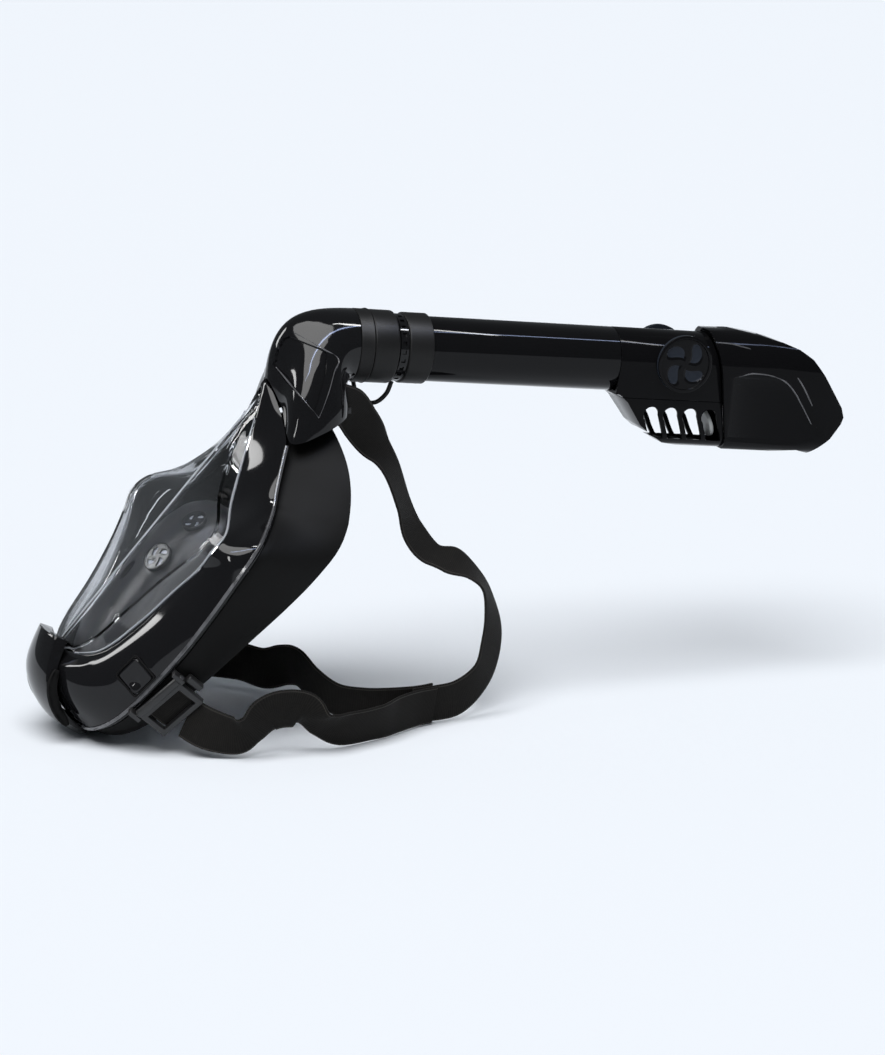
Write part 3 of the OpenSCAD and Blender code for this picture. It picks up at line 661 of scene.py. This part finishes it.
BUTTON = placed(27.6, -60.6, 17, (-34.4, "Z"), (20.2, "X"), (10.7, "Y"))
BUTTON_SIZE = 16
BUTTON_BACK = 0.8
BUTTON_FACE = -2.5
SCOOP_DEPTH = 0.9
GROOVE_WIDE = 1.1
GROOVE_THICK = 0.5
BUCKLE = placed(42.5, -70.3, 15, (26, "X"))
KEEPER_SIZE = (11, 4.6, 4.4)
KEEPER_MIDDLE = (9, 3.2, 20.2)


def set_in(piece, place, side):
    """Puts a piece made in its own frame into the object's, mirrored for the right side."""
    piece.data.transform(place)
    if side > 0:
        piece.data.transform(Matrix.Scale(-1, 4, (0, 1, 0)))
        piece.data.flip_normals()


def press_button(name, size):
    """A pad with rounded corners and a thumb scoop near its lower edge. Its face looks along -Y."""
    bpy.ops.object.select_all(action="DESELECT")
    bpy.ops.mesh.primitive_grid_add(x_subdivisions=36, y_subdivisions=36, size=2)
    pad = bpy.context.object
    pad.name = name
    bpy.ops.object.mode_set(mode="EDIT")
    bpy.ops.mesh.extrude_region_move(TRANSFORM_OT_translate={"value": (0, 0, 1)})
    bpy.ops.object.mode_set(mode="OBJECT")
    half = size / 2
    for point in pad.data.vertices:
        x, y, top = point.co
        corner = 1 - 0.14 * (x * y) ** 6
        edge = max(abs(x), abs(y))
        scoop = math.exp(-((x - 0.3) ** 2 + (y + 0.3) ** 2) / 0.11)
        face = BUTTON_FACE + SCOOP_DEPTH * scoop + 5 * max(edge - 0.9, 0)
        depth = face if top > 0.5 else BUTTON_BACK
        point.co = Vector((x * half * corner, depth, y * half * corner)) * MM
    face_outwards()
    bpy.ops.object.shade_smooth_by_angle(angle=math.radians(50))
    return pad


def ring_route(half, level):
    """A square path with rounded corners, from the middle of one side round to it again."""
    near, bend = half * 0.72, half * 0.95
    spots = [(0, half)]
    for x, z in ((1, 1), (1, -1), (-1, -1), (-1, 1)):
        corner = [(near * x, half * z), (bend * x, bend * z), (half * x, near * z)]
        if x * z > 0:
            spots += corner + [(half * x, 0)]
        else:
            spots += corner[::-1] + [(0, half * z)]
    return [((x, level, z), (x, 0.001, z)) for x, z in spots]


def block(name, size, middle, edge):
    """A block with rounded edges, in mm."""
    bpy.ops.object.select_all(action="DESELECT")
    bpy.ops.mesh.primitive_cube_add(size=1)
    made = bpy.context.object
    made.name = name
    made.data.transform(Matrix.Translation(Vector(middle) * MM)
                        @ Matrix.Diagonal((*(Vector(size) * MM), 1)))
    edit_all()
    bpy.ops.mesh.bevel(offset=edge * MM, segments=4, affect="EDGES")
    bpy.ops.object.mode_set(mode="OBJECT")
    bpy.ops.object.shade_smooth_by_angle(angle=math.radians(35))
    return made


for side, word in SIDES:
    button = press_button("button_" + word, BUTTON_SIZE)
    set_in(button, BUTTON, side)
    finished(button, POLISHED, "satin_black", "button_" + word, "release_button_" + word)
    groove = ribbon("button_groove_" + word, ring_route(BUTTON_SIZE / 2 + 0.6, BUTTON_FACE - 0.1),
                    GROOVE_WIDE, GROOVE_THICK)
    set_in(groove, BUTTON, side)
    finished(groove, SILICONE, "black_rubber", "mask")
    buckle = softened("lower_buckle_" + word, "buckle_frame_" + word, 0.6)
    finished(buckle, SATIN, "satin_black", "buckle_" + word, "lower_buckle_" + word)
    ears = softened("buckle_base_" + word, "buckle_ears_" + word, 0.4)
    finished(ears, SATIN, "satin_black", "mask", "buckle_base_" + word)
    keeper = block("buckle_keeper_" + word, KEEPER_SIZE, KEEPER_MIDDLE, 1)
    set_in(keeper, BUCKLE, side)
    finished(keeper, SATIN, "satin_black", "buckle_" + word)
    paint_with(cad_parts["buckle_pin_" + word], STEEL)
bracket = softened("strap_bracket", "strap_bar", 0.3)
finished(bracket, SATIN, "satin_black", "mask", "strap_bracket")


# ---------------------------------------------------------------- the harness
# Elastic webbing 25 mm wide, woven in fine cross ribs with a tighter edge that shows as a thin
# line. One upper and two lower bands meet behind the head and lie flat on each other.
BAND_WIDE = 25
BAND_THICK = 1.6
RIB_PITCH = 1.1
YARN_PITCH = 0.9


def woven():
    """Ribbed webbing whose pattern follows the band's own length and width."""
    finish = Finish("elastic_webbing", Specular_IOR_Level=0.1, Sheen_Weight=0.05, Sheen_Roughness=0.4)
    run = finish.node("ShaderNodeUVMap", {"uv_map": "run"})
    along = finish.part(run, "X")
    across = finish.part(run, "Y")
    from_middle = across.unsigned()
    rib = (along * (2 * math.pi / (RIB_PITCH * MM))).wave()
    yarn = (across * (2 * math.pi / (YARN_PITCH * MM)) + rib * 2.5).wave()
    edge = from_middle.above(10.8 * MM)
    line = from_middle.above(11.2 * MM) * (11.7 * MM - from_middle).above(0.0)
    fuzz = finish.noise(240, 4)
    tone = rib * 0.16 + yarn * 0.1 + fuzz * 0.22 + line * 1.1
    finish.feed("Base Color", finish.colours(tone * 0.8, (0.0022, 0.002, 0.0018, 1),
                                             (0.04, 0.037, 0.033, 1)))
    finish.feed("Roughness", fuzz * 0.2 + 0.72 - edge * 0.1)
    finish.bump(rib * 0.6 + yarn * 0.4, 0.18 * MM, 0.8)
    return finish.material


WEBBING = woven()
UPPER = (((-75, -24, 191), (6.5, 0, 8)), ((-63, -15, 185), (9, 2, 6)), ((-53, -6, 173), (11, 4, 2)),
         ((-42, 0, 159), (11, 6, -1)), ((-33, -2, 144), (8, 9, 0)), ((-26, -4, 122), (8, 10, -1)),
         ((-21, -8, 105), (9, 8, 1)), ((-12, -12, 93), (10, 8, 1)), ((-1, -18, 89), (9, 8, 4)),
         ((10, -24, 82), (7, 10, 0)), ((17, -30, 72), (6, 11, -2)), ((18, -38, 56), (8, 9, -3)),
         ((14, -45, 41), (9, 8, -5)), ((6, -51, 26), (7, 7, -8)), ((-10, -55, 15), (4, 4, -11)),
         ((-28, -58, 13.4), (1, 4, -12)), ((-42, -60, 13.4), (1, 4, -12)))
LEFT = (((-181.3, -71, 23.2), (-7, 5, -8)), ((-172, -80, 18), (-6, 3, -11)), ((-158, -89, 15), (-1, 4, -12)),
        ((-149, -92, 19), (1, 6, -11)), ((-141, -94, 27), (5, 3, -11)), ((-131, -94, 29.5), (5, 3, -11)),
        ((-118, -93, 27), (4, 4, -11)), ((-107, -92, 18), (4, 7, -9)), ((-92, -90, 13), (2, 6, -11)),
        ((-69, -82, 12.5), (2, 6, -11)), ((-53, -72, 13), (1, 4, -12)), ((-38, -63.4, 13), (1, 4, -12)),
        ((-27, -60.1, 13.1), (1, 4, -12)))
RIGHT = (((-181.3, 71, 23.2), (-7, -5, -8)), ((-168, 78, 20), (-4, -2, -12)), ((-150, 76, 18), (0, 2, -12)),
         ((-132, 66, 19), (0, 4, -11)), ((-114, 50, 20), (-1, 3, -12)), ((-103, 32, 19), (-2, 3, -12)),
         ((-96, 14, 25), (0, 3, -12)), ((-92, -2, 27), (0, 3, -12)), ((-87, -18, 20), (0, 5, -11)),
         ((-78, -34, 14), (1, 5, -11)), ((-66, -45, 12.5), (1, 4, -12)), ((-52, -52, 13), (1, 4, -12)),
         ((-38, -56.6, 14), (1, 4, -12)), ((-28, -55.6, 14.4), (1, 4, -12)))
FOLD = ((3.4, 1.0), (8, 1.4), (13, 1.5), (17, 2.6), (20, 3.4))
upper_band = ribbon("upper_webbing", UPPER, BAND_WIDE, BAND_THICK)
finished(upper_band, WEBBING, "webbing", "mask", "upper_strap")
for word, route in (("left", LEFT), ("right", RIGHT)):
    band = ribbon("lower_webbing_" + word, route, BAND_WIDE, BAND_THICK)
    finished(band, WEBBING, "webbing", None, "lower_strap_" + word)
    first, then = route[0][0], route[2][0]
    [x * MM for x in first]
    [x * MM for x in then]
    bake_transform(band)
for side, word in SIDES:
    route = [((x, y, 0), (0, 0, 1)) for x, y in FOLD]
    fold = ribbon("webbing_fold_" + word, route, BAND_WIDE - 0.4, BAND_THICK - 0.1)
    set_in(fold, BUCKLE, side)
    finished(fold, WEBBING, "webbing", "buckle_" + word)


# ---------------------------------------------------------------- the joint to the snorkel
# A polished neck socket with two soft rubber bands over it, a plug with a toothed collar that
# pulls out of it, and a third band on the tube's end. A thin rubber tether keeps them together.
NECK = from_mask(23.4, 0, 245)
TUBE_TURN = 96.4
TUBE = Matrix.Translation(Vector(NECK) * MM) @ Matrix.Rotation(math.radians(TUBE_TURN), 4, "Y")
RUBBER = matt_silicone("band_rubber", 0.004, 0.36, 0.24)
for node, name, body in (("neck_ring", "neck_band", "mask"), ("socket_cuff", "socket_band", "mask"),
                         ("tube_cuff", "tube_band", "snorkel")):
    band = softened(node, name, 0.4)
    finished(band, RUBBER, "black_rubber", body, node)
paint_with(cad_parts["plug_o_ring"], RUBBER)
for node in ("neck_socket", "plug"):
    paint_with(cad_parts[node], POLISHED)
TETHER = ((21.6, 4.5), (28, 7), (33, 13), (33.5, 20), (28, 26), (20.4, 28.5))
TETHER_WIDE = 2.3
TETHER_THICK = 2.2
route = [(TUBE @ Vector((drop * MM, 0, along * MM)) / MM, (0, 1, 0)) for drop, along in TETHER]
tether = ribbon("tether_loop", route, TETHER_WIDE, TETHER_THICK, steps=10)
finished(tether, RUBBER, "black_rubber", None, "tether")
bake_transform(tether)


# ---------------------------------------------------------------- the tube and the dry top
# A black ABS tube with two walls inside that keep fresh air and breath apart. The dry top is
# welded on; its slotted grille lets air in, and a float shuts it under water.
TUBE_BLACK = polished_black("tube_black", 0.003, 0.03, 0.17)
tube = softened("snorkel_tube", "tube_extrusion", 0.3)
finished(tube, TUBE_BLACK, "gloss_black", "snorkel", "snorkel_tube")
paint_with(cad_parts["channel_walls"], TUBE_BLACK)
CAP_BLACK = polished_black("cap_black", 0.0028, 0.05, 0.07)
housing = softened("dry_top_housing", "dry_top_shell", 0.5)
finished(housing, CAP_BLACK, "gloss_black", "snorkel", "dry_top_housing")
grille = softened("intake_grille", "slotted_grille", 0.5)
finished(grille, CAP_BLACK, "gloss_black", "snorkel", "intake_grille")
cap = softened("top_cap", "cap_shell", 1.6, 4)
CAP_PANEL = ((180, 189), (192.5, 190.4), (205, 188.6), (216, 184), (224, 175), (230, 165), (242, 149),
             (236, 144), (215, 143), (190, 146), (180, 150))
CAP_CREASES = (((183, 189), (192.5, 190.4), (205, 188.2), (214, 184), (221, 177), (227, 168),
                (235, 155)),
               ((222, 186), (227, 179), (234, 167)),
               ((170, 210), (180, 208.5), (192, 205)))
sunk_panel(cap, CAP_PANEL, 0.5, 4, 0.5, 0.5)
finished(cap, CAP_BLACK, "gloss_black", "snorkel", "top_cap")
# The cap's creases are beads painted lighter grey: a painted highlight on its facet edges.
creases(cap, CAP_CREASES, "snorkel", "cap_crease")


# ---------------------------------------------------------------- the exhaust covers
# A round cover on each side of the dry top, with a raised rim and four sunk petals in a swirl
# over the one-way flap that lets the breath out.
COVER_THICK = 3.3
COVER_SINK = 1.2
PETAL_FLOOR = 21.8
badge_finish = Finish("badge_black", Specular_IOR_Level=0.1)
sunk = (PETAL_FLOOR * MM - badge_finish.part(badge_finish.place, "Y").unsigned()).above(0)
badge_cloud = badge_finish.noise(30, 2)
badge_finish.feed("Base Color", badge_finish.colours(sunk, (0.004, 0.004, 0.0045, 1),
                                                    (0.018, 0.022, 0.03, 1)))
badge_finish.feed("Roughness", sunk * 0.35 + badge_cloud * 0.08 + 0.04)
BADGE_BLACK = badge_finish.material
for hand, word in SIDES:
    node = "exhaust_cover_" + word
    low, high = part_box(node)
    out = Vector((0, hand, 0))
    middle = (Vector(low) + Vector(high)) / 2
    middle.y = low[1] if hand > 0 else high[1]
    at = Matrix.Translation(middle) @ out.to_track_quat("Z", "Y").to_matrix().to_4x4()
    cover = swirl_disc("exhaust_swirl_" + word, at, (high[2] - low[2]) / 2, COVER_THICK * MM, 22,
                       hand, COVER_SINK * MM)
    finished(cover, BADGE_BLACK, "gloss_black", "snorkel", node)
    paint_with(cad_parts["exhaust_flap_" + word], FLAP)


# ---------------------------------------------------------------- the float
# A hollow float of pale grey polypropylene that slides on a thin rod inside the grille. The
# round seat that it shuts against shows through the slots.
SEAT_RADIUS = 9.2
SEAT_THICK = 2.6
PALE = clouded("float_plastic", 40, (0.42, 0.43, 0.42, 1), (0.55, 0.55, 0.54, 1), 0.2, 0.3,
               Specular_IOR_Level=0.5).material
paint_with(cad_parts["float"], PALE)
paint_with(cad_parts["float_guide"], STEEL)
bpy.ops.object.select_all(action="DESELECT")
bpy.ops.mesh.primitive_cylinder_add(vertices=72, radius=SEAT_RADIUS * MM, depth=SEAT_THICK * MM,
                                    end_fill_type="NGON")
seat = bpy.context.object
seat.name = "float_seat"
edit_all()
bpy.ops.mesh.bevel(offset=0.8 * MM, segments=4, affect="EDGES")
bpy.ops.object.mode_set(mode="OBJECT")
seat.data.transform(TUBE @ Matrix.Translation((36 * MM, 0, 234.5 * MM))
                    @ Matrix.Rotation(math.radians(-22), 4, "Y"))
bpy.ops.object.shade_smooth_by_angle(angle=math.radians(35))
finished(seat, PALE, "float_grey", "snorkel")
